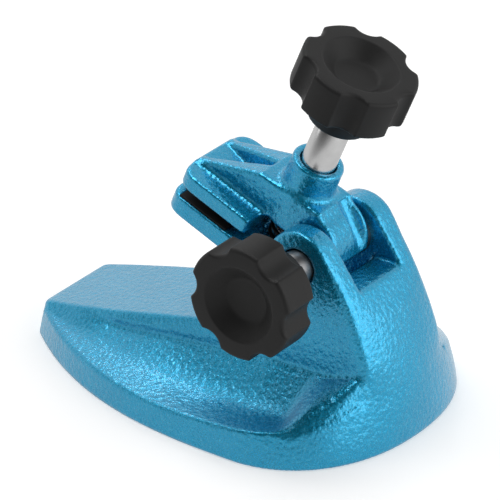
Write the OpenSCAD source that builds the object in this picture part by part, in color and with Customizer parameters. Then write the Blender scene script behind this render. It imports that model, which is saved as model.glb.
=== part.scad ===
// Micrometer stand: a heavy cast foot with a sloping tongue and a forked post,
// a tilting clamp head held in the fork, and two star knobs on steel screws.
// Millimetres. The pivot axis runs along X above the origin, the tongue points to -Y,
// the foot stands on Z = 0.

/* [Foot] */
// Front edge of the foot to the pivot axis
base_front = 111.5; // [95:0.5:140]
// Pivot axis to the rear edge of the foot
base_rear = 37; // [30:0.5:48]
// Widest part of the foot
base_width = 106.5; // [86:0.5:130]
// Width of the foot at the front tip
tip_width = 38; // [28:0.5:50]
// Height of the tongue at the front tip
tip_height = 11.8; // [9:0.1:16]
// Slope of the tongue's top
tongue_slope = 13; // [8:0.5:16]
// Lean of the side and tip walls
skirt_draft = 8; // [4:0.5:12]
// Height of the scoop's outer rim at its lowest
rim_height = 9.2; // [8:0.1:12]
// Height of the crease between scoop and post
crease_height = 26.5; // [22:0.5:29]
// Thickness left over the hollow underside
wall = 7; // [5:0.5:9]
// Width of the hollow underside
pocket_width = 27; // [18:0.5:32]

/* [Post] */
// Height of the pivot axis
pivot_height = 59.5; // [55:0.5:66]
// Width over the two cheeks
post_width = 41; // [38:0.5:48]
// Width of the slot between the cheeks
slot_width = 23.6; // [22.6:0.1:25]
// Radius of the rounded cheek tops
ear_radius = 12.4; // [11:0.1:14]
// Height of the slot's rear shelf
shelf_height = 52.7; // [49:0.1:54]
// Lean of the cheeks' front edges
front_lean = 20; // [10:1:26]
// Lean of the cheeks' rear edges
rear_lean = 35; // [28:1:40]

/* [Head] */
// Tilt of the clamp screw to the rear
head_tilt = 22.7; // [5:0.1:60]
// Width of the two jaw plates
jaw_width = 36.6; // [30:0.1:44]
// Pivot axis to the front edge of the upper plate
jaw_reach = 53.6; // [48:0.1:62]
// Rear edge of the plates
plate_rear = 23.5; // [22:0.1:25]
// Thickness of the upper plate
upper_thick = 6; // [5:0.1:8]
// Thickness of the lower plate
lower_thick = 7.2; // [6:0.1:8]
// Opening between the plates
jaw_gap = 4; // [3.6:0.1:6]
// Width of the neck
neck_width = 20; // [18:0.1:20.2]
// Height of the neck over the plate
neck_height = 13.6; // [12:0.1:15]
// Pivot axis to the clamp screw
screw_offset = 16.6; // [16:0.1:18]
// Outer diameter of the screw boss
boss_dia = 18; // [17:0.1:20]
// Height of the boss top over the plate
boss_height = 24.5; // [22:0.1:27]
// Radius of the tail
tail_radius = 13; // [12:0.1:14]
// Thickness of the rubber jaw pads
pad_thick = 1.5; // [1:0.1:2]

/* [Knobs and screws] */
// Diameter of the star knobs
knob_dia = 40; // [32:0.5:42]
// Height of the lobed part
knob_height = 15; // [12:0.5:18]
// Height of the round hub below it
hub_height = 8.6; // [6:0.1:12]
// Diameter of the hub at its foot
hub_dia = 22; // [18:0.5:26]
// Lobes round the knob
knob_lobes = 6; // [5:1:8]
// Diameter of the steel shanks
shank_dia = 12; // [10:0.1:12.4]
// Diameter of the threaded studs
stud_dia = 8; // [7:0.1:8.4]
// Exposed shank over the boss
clamp_shank = 19; // [14:0.5:24]
// Exposed shank beside the near cheek
pivot_shank = 9.4; // [6:0.1:14]
// Diameter of the guide pin
pin_dia = 5; // [4:0.1:5.4]
// Wire of the jaw spring
spring_wire = 1.3; // [1:0.1:1.5]
// Turns of the jaw spring
spring_turns = 4; // [3:1:5]

/* [Hidden] */
$fn = 96;
eps = 0.01;
over = 1;
// Fits
run = 0.05;
face = 0.05;
clear = 0.5;
// Outline of the foot: the widest line lies a little before the pivot
wide_y = -6;
side_power = 2.55;
rear_power = 2.2;
power_dip = 0.24;
rear_straight = 0.0226;
rear_bow = 18.2;
post_top = pivot_height + ear_radius;
half_post = post_width / 2;
half_slot = slot_width / 2;
tip_y = -base_front + tip_height * tan(skirt_draft);

// Smooth step from 0 to 1
function ease(t) = let (c = min(max(t, 0), 1)) c * c * (3 - 2 * c);

// Half width and rear reach of the drafted foot at height z; halfway up, its rear corners lean in more
function half_width(z) = base_width / 2 - z * tan(skirt_draft);
function half_tip(z) = tip_width / 2 - z * tan(skirt_draft);
function front_y(z) = -base_front + z * tan(skirt_draft);
function rear_reach(z) = base_rear - wide_y - rear_straight * z - rear_bow * pow(z / pivot_height, 2);
function rear_n(z) = rear_power - power_dip * ease(z / 22) * (1 - ease((z - 18) / 14));

// Outer wall: half width at a given y and height
function wall_x(y, z) = y < wide_y
    ? half_width(z) - (half_width(z) - half_tip(z)) * pow((wide_y - y) / (wide_y - front_y(z)), side_power)
    : half_width(z) * pow(max(1 - pow((y - wide_y) / rear_reach(z), rear_n(z)), 0), 1 / rear_n(z));

// Skin of a row of equal rings, points counter-clockwise seen from the last one
module skin(rings) {
    n = len(rings[0]);
    m = len(rings);
    sides = [for (j = [0 : m - 2], i = [0 : n - 1])
        let (a = j * n + i, b = j * n + (i + 1) % n)
        each [[a, b + n, b], [a, a + n, b + n]]];
    polyhedron([for (r = rings) each r],
        concat(sides, [[for (i = [0 : n - 1]) i]], [[for (i = [n - 1 : -1 : 0]) (m - 1) * n + i]]));
}

// Side view drawn in Y and Z, carried along X
module across(width) {
    translate([-width / 2, 0, 0]) rotate([90, 0, 90]) linear_extrude(width) children();
}

// Tongue's top and the forked post in side view
function tongue_z(y) = tip_height + (y - tip_y) * tan(tongue_slope);
function ear_point(a) = [ear_radius * cos(a), pivot_height + ear_radius * sin(a)];
front_ear = ear_point(180 - front_lean);
rear_ear = ear_point(rear_lean);
foot_run = (front_ear.y - tongue_z(front_ear.x)) / (cos(front_lean) - sin(front_lean) * tan(tongue_slope));
post_foot = front_ear - foot_run * [sin(front_lean), cos(front_lean)];
function profile_z(y) = y < post_foot.x ? tongue_z(y)
    : y < front_ear.x ? front_ear.y - (front_ear.x - y) / tan(front_lean)
    : y < rear_ear.x ? pivot_height + sqrt(ear_radius * ear_radius - y * y)
    : rear_ear.y - (y - rear_ear.x) / tan(rear_lean);

// Scooped flanks. The rim of the skirt rises to the tip, and behind rim_corner to the rear end
scoop_rear = base_rear - 7;
rim_corner = scoop_rear - 17;
rim_bow = 1.15;
rim_end = 0.4;
rim_power = 1.5;
rim_rise = 4;
rim_rise_from = -45;
rim_tip_from = -60;
rim_drop = 1.8;
rim_tip_rise = tip_height - rim_drop - rim_height;
function rim_low(y) = rim_height
    + rim_rise * pow(max(min(y, rim_corner) - rim_rise_from, 0) / (rim_corner - rim_rise_from), rim_power)
    + rim_tip_rise * pow(max(rim_tip_from - y, 0) / (rim_tip_from + base_front), rim_power);
function rim_z(y) = let (t = min(max(y - rim_corner, 0) / (scoop_rear - rim_corner), 1))
    rim_low(y) + (crease_height - rim_low(y)) * (1 - pow(1 - pow(t, rim_bow), rim_end));

// Ridge of the tongue and post: a bevel below its edge, and a low step below the bevel
ridge_taper = 3.1;
ridge_taper_from = -74;
ridge_taper_run = 36;
bevel_width = 1.5;
bevel_drop = 0.6;
bevel_grow = 0.1;
bevel_least = 0.3;
bevel_from = 21.5;
step_height = 3.3;
step_least = 0.15;
step_end = 18;
function from_tip(y, start, run) = ease((y + base_front - start) / run);
function ridge_x(y) = half_post - ridge_taper * pow(max(ridge_taper_from - y, 0) / ridge_taper_run, 1.5);
function bevel_x(y) = ridge_x(y) + bevel_width * from_tip(y, 11.5, 40);
function crease_z(y) = min(
    tongue_z(y) - max(bevel_drop + bevel_grow * (y + base_front - bevel_from), bevel_least),
    crease_height + over * max(y, 0) / scoop_rear);
function step_left(y) = 1 - ease((y - scoop_rear + step_end) / (step_end - 1));
function step_z(y) = crease_z(y) - max(step_height * from_tip(y, 16.5, 25) * step_left(y), step_least);
crown_from = -30;
crown_run = 18;
function crown_z(y) = tongue_z(y) + (pivot_height - tongue_z(y)) * ease((y - crown_from) / crown_run);
function flank_x(y, z) = bevel_x(y) - (bevel_x(y) - ridge_x(y))
    * min(max((z - crease_z(y)) / max(crown_z(y) - crease_z(y), bevel_least), 0), 1);

// Floor of the scoop, a rational curve pulled to its control point: it falls to the rim in front,
// rises to it behind, and turns into a dome at the rear end
floor_tilt = 0.17;
floor_turn = 0.25;
floor_from = 41.5;
floor_run = 75;
lead = 0.38;
lead_grow = 0.003;
lead_from = -40;
valley_weight = 3.2;
valley_end = 25;
valley_run = 14;
dome_start = 22;
dome_run = 9;
dome_power = 0.2;
dome_reach = 0.97;
function shut(y) = ease((y - scoop_rear + valley_end) / valley_run);
function lead_at(y) = let (l = lead + lead_grow * max(y - lead_from, 0)) l + (1 - l) * shut(y);
function tilt_at(y) = (floor_tilt - floor_turn * from_tip(y, floor_from, floor_run))
    * from_tip(y, 5.5, 30) * (1 - shut(y));
function bend(a, b, c, t) = let (s = 1 - t, m = 2 * valley_weight * s * t)
    (s * s * a + m * b + t * t * c) / (s * s + m + t * t);
function dome_fall(d, p) = let (low = pow(1 - pow(dome_reach, p), 1 / p))
    (pow(1 - pow(dome_reach * d, p), 1 / p) - low) / (1 - low);
function dome_share(y, run) = ease((y - scoop_rear + dome_start) / run);
function valley(y, r, b, k, t) =
    let (q = bend(r, b, k, t), d = min(max((q.x - k.x) / max(r.x - k.x, eps), 0), 1))
    let (z = r.y + (k.y - r.y) * dome_fall(d, 1 + dome_power * dome_share(y, dome_run + 1)))
    [q.x, q.y + (z - q.y) * dome_share(y, dome_run)];

// Wall at a height, kept behind the leaning tip face, and the height where it has a given half width
function skirt(y, z) = wall_x(max(y, front_y(z)), z);
function wall_z(y, x, low = 0, high = 90, n = 26) = n == 0 ? low
    : let (mid = (low + high) / 2)
        skirt(y, mid) > x ? wall_z(y, x, mid, high, n - 1) : wall_z(y, x, low, mid, n - 1);

// Half of a cross section, from the foot's edge up to the middle: skirt, valley, step, flank, top
skirt_steps = 3;
curve_steps = 10;
top_steps = 4;
dome = [0.76, 0.785, 0.79, 0.805, 0.82];
function on_wall(y, x, z) = [min(x, skirt(y, z)), z];
function feature(y) = y < scoop_rear
    ? let (r = rim_z(y), k = step_z(y), s = crease_z(y), e = min(profile_z(y), wall_z(y, ridge_x(y))))
        let (m = crown_z(y) < e - over / 2 ? crown_z(y) : (s + e) / 2)
        [[skirt(y, r), r], on_wall(y, bevel_x(y), k), on_wall(y, bevel_x(y), s),
            on_wall(y, flank_x(y, m), m), on_wall(y, flank_x(y, e), e)]
    : let (t = wall_z(y, eps))
        [for (d = dome) [skirt(y, d * t), d * t]];
function half_section(y) =
    let (f = feature(y), r = f[0], k = f[1], e = f[4])
    let (reach = lead_at(y) * (r.x - k.x), b = [k.x + reach, r.y + tilt_at(y) * (r.x - k.x - reach)])
    concat([for (i = [0 : skirt_steps - 1]) let (z = r.y * i / skirt_steps) [skirt(y, z), z]],
        [for (i = [0 : curve_steps]) let (t = i / curve_steps)
            y < scoop_rear ? valley(y, r, b, k, t) : r + (k - r) * t],
        [f[2], f[3]],
        [for (i = [0 : top_steps]) let (x = e.x * (1 - i / top_steps))
            [x, y > rear_ear.x ? min(profile_z(y), wall_z(y, max(x, eps))) : e.y]]);
function place(p, side, y) = [side * p.x, max(y, front_y(p.y)), p.y];
function section(y) = let (h = half_section(y), n = len(h))
    concat([for (p = h) place(p, -1, y)], [for (i = [n - 2 : -1 : 0]) place(h[i], 1, y)]);

// Stations from the tip to the rear, closer where the outline turns
tongue_steps = 15;
ear_steps = 10;
slope_steps = 4;
scoop_steps = 14;
rear_steps = 8;
ear_sweep = 180 - front_lean - rear_lean;
scoop_end = scoop_rear - eps - rim_corner;
rear_end = base_rear - 5 * eps - scoop_rear;
stations = concat(
    [-base_front],
    [for (i = [0 : tongue_steps]) tip_y + over + (post_foot.x - tip_y - over) * i / tongue_steps],
    [post_foot.x + (front_ear.x - post_foot.x) / 2],
    [for (i = [0 : ear_steps]) ear_radius * cos(180 - front_lean - ear_sweep * i / ear_steps)],
    [for (i = [1 : slope_steps]) rear_ear.x + (rim_corner - rear_ear.x) * i / slope_steps],
    [for (i = [1 : scoop_steps]) rim_corner + scoop_end * i / scoop_steps],
    [for (i = [1 : rear_steps]) scoop_rear + rear_end * sin(90 * i / rear_steps)]);

// Slot for the head: deep in front, a shelf behind
slot_floor = 30;
shelf_front = 9;
module slot_profile() {
    rear = base_rear + over;
    top = post_top + over;
    polygon([[-base_front, slot_floor], [0, slot_floor], [shelf_front, shelf_height], [rear, shelf_height],
        [rear, top], [-base_front, top]]);
}

// Hollow underside below the tongue, solid below the post
pocket_front = tip_y + 2 * wall;
pocket_rear = -ear_radius;
pocket_roof = min(tongue_z(post_foot.x), slot_floor) - wall;
module pocket_profile() {
    polygon([[pocket_front, -over], [pocket_front, tongue_z(pocket_front) - wall],
        [post_foot.x, pocket_roof], [pocket_rear, pocket_roof], [pocket_rear, -over]]);
}

module base_casting() {
    color("SteelBlue") difference() {
        skin([for (y = stations) section(y)]);
        across(slot_width) slot_profile();
        across(pocket_width) pocket_profile();
        translate([half_slot - over, 0, pivot_height]) rotate([0, 90, 0])
            cylinder(d = shank_dia + 2 * clear, h = half_post);
        translate([-half_post - over, 0, pivot_height]) rotate([0, 90, 0])
            cylinder(d = stud_dia + 2 * run, h = half_post);
    }
}

// Washers each side of the head in the slot
half_neck = neck_width / 2;
washer_thick = half_slot - half_neck - 2 * face;
thrust_over = 0.4;
thrust_dia = shank_dia + thrust_over;
friction_dia = 15;
washer_hole = stud_dia + clear;
module ring_x(x, outer, inner, thick) {
    translate([x, 0, pivot_height]) rotate([0, 90, 0]) difference() {
        cylinder(d = outer, h = thick);
        translate([0, 0, -over]) cylinder(d = inner, h = thick + 2 * over);
    }
}
module pivot_friction_washer() {
    color("DimGray") ring_x(-half_slot, friction_dia, washer_hole, washer_thick + face);
}
module pivot_thrust_washer() {
    color("Silver") ring_x(half_neck + face, thrust_dia, washer_hole, washer_thick);
}

// Star knob standing on z = 0 with its hub down, and the screw that it drives
scallop_radius = 6.5;
scallop_depth = 2.5;
dish_dia = 26;
dish_floor = 16;
dish_depth = 5.5;
hub_flare = 4;
grip_depth = 15;
module star() {
    difference() {
        circle(d = knob_dia);
        for (i = [0 : knob_lobes - 1])
            rotate((i + 0.5) * 360 / knob_lobes)
                translate([knob_dia / 2 + scallop_radius - scallop_depth, 0]) circle(scallop_radius);
    }
}
module knob() {
    difference() {
        union() {
            translate([0, 0, hub_height]) linear_extrude(knob_height) star();
            cylinder(d1 = hub_dia, d2 = hub_dia + hub_flare, h = hub_height + eps);
        }
        translate([0, 0, hub_height + knob_height - dish_depth])
            cylinder(d1 = dish_floor, d2 = dish_dia, h = dish_depth + eps);
        translate([0, 0, -over]) cylinder(d = shank_dia, h = grip_depth + over);
    }
}

// Shank with a shoulder, standing on the shoulder, stud downwards
thread_groove = 1.2;
clip_thick = 1;
module screw(shank, stud, groove) {
    cylinder(d = shank_dia, h = shank + grip_depth);
    difference() {
        translate([0, 0, -stud]) cylinder(d = stud_dia, h = stud + eps);
        if (groove > 0)
            translate([0, 0, -groove - clip_thick]) difference() {
                cylinder(d = stud_dia + over, h = clip_thick);
                translate([0, 0, -over]) cylinder(d = stud_dia - thread_groove, h = clip_thick + 2 * over);
            }
    }
}

pivot_seat = half_neck + 2 * face + washer_thick;
pivot_run = half_post - pivot_seat + pivot_shank;
pivot_knob_turn = -5.7;
module on_pivot() {
    translate([0, 0, pivot_height]) rotate([0, 90, 0]) children();
}
module pivot_screw() {
    color("Gainsboro") on_pivot() translate([0, 0, pivot_seat])
        screw(pivot_run, pivot_seat + half_post - over, 0);
}
module pivot_knob() {
    color("DarkSlateGray") on_pivot() translate([0, 0, pivot_seat + pivot_run])
        rotate(pivot_knob_turn) knob();
}

// Clamp head in its own frame: y runs to the rear along the jaws, z up along the clamp screw
module in_head() {
    translate([0, 0, pivot_height]) rotate([-head_tilt, 0, 0]) children();
}
plate_top = 0.5;
gap_top = plate_top - upper_thick;
gap_low = gap_top - jaw_gap;
plate_round = 4.5;
module plate(front) {
    half = jaw_width / 2;
    difference() {
        translate([-half, -front]) square([jaw_width, front - plate_rear]);
        for (s = [-1, 1]) translate([s * (half - plate_round), -front + plate_round]) difference() {
            translate([-plate_round + s * plate_round, -2 * plate_round]) square(2 * plate_round);
            circle(plate_round);
            translate([-3 * plate_round, 0]) square(6 * plate_round);
            translate([s < 0 ? 0 : -6 * plate_round, -3 * plate_round]) square(6 * plate_round);
        }
    }
}

// Neck with two wedge ribs in front and a rounded tail behind
rib_start = jaw_reach - 1;
rib_top = 30;
tail_y = -5;
tail_cut = [7.4, 0.6];
tail_foot = [3.5, -7.3];
hub_radius = 8.2;
hub_front = 9;
module neck_profile() {
    top = plate_top + neck_height;
    polygon([[-rib_start, plate_top - eps], [-rib_start, plate_top + over], [-rib_top, top - over],
        [-screw_offset, top], [tail_y, top], [tail_y, plate_top], [-hub_front, plate_top - eps]]);
    intersection() {
        translate([tail_y, plate_top - over]) circle(tail_radius);
        polygon([[-2 * tail_radius, plate_top], [-2 * tail_radius, 2 * tail_radius],
            [2 * tail_radius, 2 * tail_radius], [2 * tail_radius, tail_cut.y], tail_cut, tail_foot,
            [-hub_front, plate_top - eps]]);
    }
    intersection() {
        circle(hub_radius);
        polygon([[-hub_radius, hub_radius], tail_cut, tail_foot, [tail_foot.x, -hub_radius],
            [-hub_radius, -hub_radius]]);
    }
}

// Open V between the two ribs
vee_front = 7;
vee_rear = 1.6;
vee_end = 31;
module vee() {
    polygon([[-vee_front, -jaw_reach - over], [vee_front, -jaw_reach - over], [vee_rear, -vee_end],
        [-vee_rear, -vee_end]]);
}
groove_radius = 3.2;
groove_x = -4.7;
groove_turn = 40;
groove_start = 9.5;
seat_height = 9;
spring_seat = 3;
spring_bore = 15;
boss_flare = 3;
boss_foot = 4;
pin_y = -27;
pin_top = 4;
pin_hole_top = 10;
seat_deep = 1.2;
pad_front = 4;
pad_rear = 2;
pad_side = 1;
module pad_outline(front) {
    half = jaw_width / 2 - pad_side;
    length = front - pad_front - plate_rear - pad_rear - pin_dia;
    translate([-half, -front + pad_front]) square([2 * half, length]);
}
module upper_jaw() {
    top = plate_top + neck_height;
    color("SteelBlue") in_head() difference() {
        union() {
            translate([0, 0, gap_top]) linear_extrude(upper_thick) plate(jaw_reach);
            difference() {
                across(neck_width) neck_profile();
                translate([0, 0, plate_top]) linear_extrude(neck_height + over) vee();
            }
            translate([0, -screw_offset, top - boss_foot])
                cylinder(d = boss_dia, h = plate_top + boss_height - top + boss_foot);
            translate([0, -screw_offset, top - eps])
                cylinder(d1 = boss_dia + boss_flare, d2 = boss_dia, h = boss_foot);
        }
        translate([0, -screw_offset, plate_top + seat_height])
            cylinder(d = shank_dia + 2 * clear, h = boss_height);
        translate([0, -screw_offset, gap_low]) cylinder(d = stud_dia + 2 * clear, h = boss_height);
        translate([0, -screw_offset, gap_low])
            cylinder(d = spring_bore, h = plate_top - gap_low + spring_seat);
        translate([0, pin_y, gap_top - over])
            cylinder(d = pin_dia + 2 * run, h = pin_hole_top - gap_top + over);
        rotate([0, 90, 0]) translate([0, 0, -half_neck - over])
            cylinder(d = stud_dia + 2 * run, h = neck_width + 2 * over);
        translate([0, 0, gap_top - over]) linear_extrude(seat_deep + over) pad_outline(jaw_reach);
        translate([groove_x, tail_y, plate_top - over]) rotate([-groove_turn, 0, 0])
            translate([0, 2 * tail_radius, tail_radius - face]) rotate([90, 0, 0])
                cylinder(r = groove_radius, h = 2 * tail_radius + groove_start);
    }
}
module upper_jaw_pad() {
    color("Black") in_head() translate([0, 0, gap_top + seat_deep - pad_thick])
        linear_extrude(pad_thick) pad_outline(jaw_reach);
}

lower_lead = 0.8;
lower_reach = jaw_reach + lower_lead;
lower_neck = 19;
lower_rear = 7.5;
lower_deep = 2;
lower_boss = 1.4;
ramp = 7;
module lower_jaw() {
    low = gap_low - lower_thick;
    color("SteelBlue") in_head() difference() {
        union() {
            translate([0, 0, low]) linear_extrude(lower_thick) plate(lower_reach);
            across(lower_neck) polygon([[-plate_rear - ramp, low + eps], [-plate_rear, low - lower_deep],
                [-lower_rear, low - lower_deep], [-lower_rear, gap_low], [-plate_rear - ramp, gap_low]]);
            translate([0, -screw_offset, low - lower_deep - lower_boss])
                cylinder(d = lower_neck - over, h = lower_thick);
        }
        translate([0, -screw_offset, low - 2 * lower_thick])
            cylinder(d = stud_dia + 2 * run, h = 4 * lower_thick);
        translate([0, pin_y, low + over]) cylinder(d = pin_dia, h = lower_thick);
        translate([0, 0, gap_low - seat_deep]) linear_extrude(seat_deep + over) pad_outline(lower_reach);
    }
}
module lower_jaw_pad() {
    color("Black") in_head() translate([0, 0, gap_low - seat_deep])
        linear_extrude(pad_thick) pad_outline(lower_reach);
}
module jaw_guide_pin() {
    color("Silver") in_head() translate([0, pin_y, gap_low - lower_thick + over])
        cylinder(d = pin_dia, h = pin_top - gap_low + lower_thick - over);
}

// Open coil between the neck and the lower jaw, one unbroken tube with flat-set ends
spring_mean = 6;
spring_sides = 6;
spring_rings = 8;
spring_low = gap_low + spring_wire / 2 + face;
spring_high = plate_top + spring_seat - spring_wire / 2 - face;
spring_pitch = (spring_high - spring_low) / spring_turns;
function coil(i) = let (a = 360 * i / spring_rings)
    [spring_mean * cos(a), spring_mean * sin(a), spring_low + spring_pitch * i / spring_rings];
function coil_ring(i) = let (a = 360 * i / spring_rings, c = coil(i))
    [for (j = [0 : spring_sides - 1]) let (b = 360 * j / spring_sides)
        [c.x + spring_wire / 2 * cos(b) * cos(a), c.y + spring_wire / 2 * cos(b) * sin(a),
            c.z + spring_wire / 2 * sin(b)]];
echo(least_spring_gap = spring_pitch - spring_wire);
module jaw_spring() {
    color("Gray") in_head() translate([0, -screw_offset, 0])
        mirror([0, 1, 0]) skin([for (i = [0 : spring_turns * spring_rings]) coil_ring(i)]);
}

clamp_thick = 1.2;
clamp_seat = plate_top + seat_height + clamp_thick + 2 * face;
clamp_run = plate_top + boss_height - clamp_seat + clamp_shank;
open_travel = 5.5;
clip_depth = clamp_seat - gap_low + lower_thick + lower_deep + lower_boss + open_travel + 2 * face;
clip_dia = 13;
clip_slit = 5;
module on_screw(z) {
    in_head() translate([0, -screw_offset, z]) children();
}
module clamp_washer() {
    color("Silver") on_screw(plate_top + seat_height + face) difference() {
        cylinder(d = thrust_dia, h = clamp_thick);
        translate([0, 0, -over]) cylinder(d = washer_hole, h = clamp_thick + 2 * over);
    }
}
module clamp_screw() {
    color("Gainsboro") on_screw(clamp_seat) screw(clamp_run, clip_depth + 2 * clip_thick, clip_depth);
}
module clamp_clip() {
    color("Gray") on_screw(clamp_seat - clip_depth - clip_thick) difference() {
        cylinder(d = clip_dia, h = clip_thick);
        translate([0, 0, -over]) cylinder(d = stud_dia - thread_groove, h = clip_thick + 2 * over);
        translate([-clip_slit / 2, 0, -over]) cube([clip_slit, clip_dia, clip_thick + 2 * over]);
    }
}
module clamp_knob() {
    color("DarkSlateGray") on_screw(clamp_seat + clamp_run) knob();
}

base_casting();
pivot_friction_washer();
pivot_thrust_washer();
pivot_screw();
pivot_knob();
upper_jaw();
upper_jaw_pad();
lower_jaw();
lower_jaw_pad();
jaw_guide_pin();
jaw_spring();
clamp_washer();
clamp_screw();
clamp_clip();
clamp_knob();
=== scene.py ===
import math
import bpy
import numpy as np
from mathutils import Matrix, Vector


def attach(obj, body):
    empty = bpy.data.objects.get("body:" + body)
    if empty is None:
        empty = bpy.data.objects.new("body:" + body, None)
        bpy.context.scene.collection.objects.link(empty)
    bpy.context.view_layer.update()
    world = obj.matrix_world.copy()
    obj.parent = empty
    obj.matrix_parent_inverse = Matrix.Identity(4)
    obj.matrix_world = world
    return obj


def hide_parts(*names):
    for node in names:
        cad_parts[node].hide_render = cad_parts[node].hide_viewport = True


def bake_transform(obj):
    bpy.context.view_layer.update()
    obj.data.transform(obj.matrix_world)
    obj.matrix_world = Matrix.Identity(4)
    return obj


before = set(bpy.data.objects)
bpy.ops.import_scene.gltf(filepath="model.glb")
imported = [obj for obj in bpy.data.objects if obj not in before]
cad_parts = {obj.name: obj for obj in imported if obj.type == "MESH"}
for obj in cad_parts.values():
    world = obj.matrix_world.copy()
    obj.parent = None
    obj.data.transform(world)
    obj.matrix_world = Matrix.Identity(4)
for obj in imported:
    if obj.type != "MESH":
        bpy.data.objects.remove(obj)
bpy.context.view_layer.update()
print("frame loaded")

# Sizes are in millimetres and angles in degrees: x runs to the side knob, y to the rear, z up.
mm = 0.001  # metres


# An sRGB hex colour as linear red, green, blue and alpha.
def linear(hexColour):
    c = np.array([int(hexColour[i:i + 2], 16) for i in (1, 3, 5)]) / 255.0
    c = np.where(c <= 0.04045, c / 12.92, ((c + 0.055) / 1.055) ** 2.4)
    return (*c.tolist(), 1.0)


def addNode(tree, kind, inputs=None, **settings):
    node = tree.nodes.new(kind)
    for key, value in settings.items():
        setattr(node, key, value)
    for key, value in (inputs or {}).items():
        if isinstance(value, bpy.types.NodeSocket):
            tree.links.new(value, node.inputs[key])
        else:
            node.inputs[key].default_value = value
    return node


def newMaterial(name):
    material = bpy.data.materials.new(name)
    material.use_nodes = True
    tree = material.node_tree
    tree.nodes.clear()
    out = addNode(tree, "ShaderNodeOutputMaterial")
    shader = addNode(tree, "ShaderNodeBsdfPrincipled")
    tree.links.new(shader.outputs["BSDF"], out.inputs["Surface"])
    where = addNode(tree, "ShaderNodeTexCoord").outputs["Object"]
    return material, tree, shader, where


# Texture scale from the size of one cell in millimetres.
def perMetre(sizeMm):
    return 1000.0 / sizeMm


# Hammered metallic enamel on cast iron: rounded dimples over a finer orange peel, under a clear coat, break the
# highlights up. The flakes are drawn far coarser than real ones, so that they show.
enamel = {
    "dimple": 1.7, "dimpleSoft": 0.6, "peel": 0.8, "peelShare": 0.8, "relief": 0.4, "bump": 0.45,
    "patch": 14.0, "deepBlue": "#0590ba", "clearBlue": "#089fcb",
    "flake": 0.35, "flakeBlue": "#58c2e0", "flakeFrom": 0.72, "flakeMost": 0.45,
    "smooth": 0.2, "rough": 0.36, "metal": 0.7, "coat": 0.6, "coatRough": 0.07,
}


def makePaint():
    material, tree, shader, where = newMaterial("hammeredBluePaint")
    dimples = addNode(tree, "ShaderNodeTexVoronoi", {
        "Vector": where, "Scale": perMetre(enamel["dimple"]), "Smoothness": enamel["dimpleSoft"],
    }, feature="SMOOTH_F1")
    peel = addNode(tree, "ShaderNodeTexNoise",
                   {"Vector": where, "Scale": perMetre(enamel["peel"]), "Detail": 2.0})
    flakes = addNode(tree, "ShaderNodeTexVoronoi", {"Vector": where, "Scale": perMetre(enamel["flake"])})
    patches = addNode(tree, "ShaderNodeTexNoise",
                      {"Vector": where, "Scale": perMetre(enamel["patch"]), "Detail": 2.0})
    height = addNode(tree, "ShaderNodeMath",
                     {0: peel.outputs["Fac"], 1: enamel["peelShare"], 2: dimples.outputs["Distance"]},
                     operation="MULTIPLY_ADD")
    bump = addNode(tree, "ShaderNodeBump", {
        "Height": height.outputs[0], "Distance": enamel["relief"] * mm, "Strength": enamel["bump"],
    }, invert=True)
    tone = addNode(tree, "ShaderNodeMix", {
        0: patches.outputs["Fac"], 6: linear(enamel["deepBlue"]), 7: linear(enamel["clearBlue"]),
    }, data_type="RGBA")
    spark = addNode(tree, "ShaderNodeSeparateColor", {"Color": flakes.outputs["Color"]})
    glint = addNode(tree, "ShaderNodeMapRange", {
        "Value": spark.outputs[0], "From Min": enamel["flakeFrom"], "From Max": 1.0,
        "To Min": 0.0, "To Max": enamel["flakeMost"],
    })
    bright = addNode(tree, "ShaderNodeMix", {
        0: glint.outputs[0], 6: tone.outputs[2], 7: linear(enamel["flakeBlue"]),
    }, data_type="RGBA")
    tree.links.new(bright.outputs[2], shader.inputs["Base Color"])
    gleam = addNode(tree, "ShaderNodeMapRange",
                    {"Value": spark.outputs[1], "To Min": enamel["smooth"], "To Max": enamel["rough"]})
    tree.links.new(gleam.outputs[0], shader.inputs["Roughness"])
    shader.inputs["Metallic"].default_value = enamel["metal"]
    shader.inputs["Coat Weight"].default_value = enamel["coat"]
    shader.inputs["Coat Roughness"].default_value = enamel["coatRough"]
    tree.links.new(bump.outputs["Normal"], shader.inputs["Normal"])
    tree.links.new(bump.outputs["Normal"], shader.inputs["Coat Normal"])
    return material


# Moulded black plastic: near black and matt, with the fine grain of a spark-eroded mould and slight wear.
moulding = {
    "grain": 0.5, "relief": 0.1, "bump": 0.35, "wear": 9.0, "black": "#131313", "worn": "#191919",
    "smooth": 0.48, "rough": 0.6, "specular": 0.28,
}


def makePlastic():
    material, tree, shader, where = newMaterial("mouldedBlackPlastic")
    grain = addNode(tree, "ShaderNodeTexNoise",
                    {"Vector": where, "Scale": perMetre(moulding["grain"]), "Detail": 3.0})
    wear = addNode(tree, "ShaderNodeTexNoise",
                   {"Vector": where, "Scale": perMetre(moulding["wear"]), "Detail": 3.0})
    bump = addNode(tree, "ShaderNodeBump", {
        "Height": grain.outputs["Fac"], "Distance": moulding["relief"] * mm, "Strength": moulding["bump"],
    })
    tone = addNode(tree, "ShaderNodeMix", {
        0: wear.outputs["Fac"], 6: linear(moulding["black"]), 7: linear(moulding["worn"]),
    }, data_type="RGBA")
    tree.links.new(tone.outputs[2], shader.inputs["Base Color"])
    rough = addNode(tree, "ShaderNodeMapRange",
                    {"Value": wear.outputs["Fac"], "To Min": moulding["smooth"], "To Max": moulding["rough"]})
    tree.links.new(rough.outputs[0], shader.inputs["Roughness"])
    shader.inputs["Specular IOR Level"].default_value = moulding["specular"]
    tree.links.new(bump.outputs["Normal"], shader.inputs["Normal"])
    return material


# Steel, turned bright, plain or blackened (the blackened one kept near black as painted shade too): a fine
# machining grain varies the gloss, and the tone is cloudy.
steelGrain = {"grain": 0.25, "cloud": 5.0}


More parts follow.
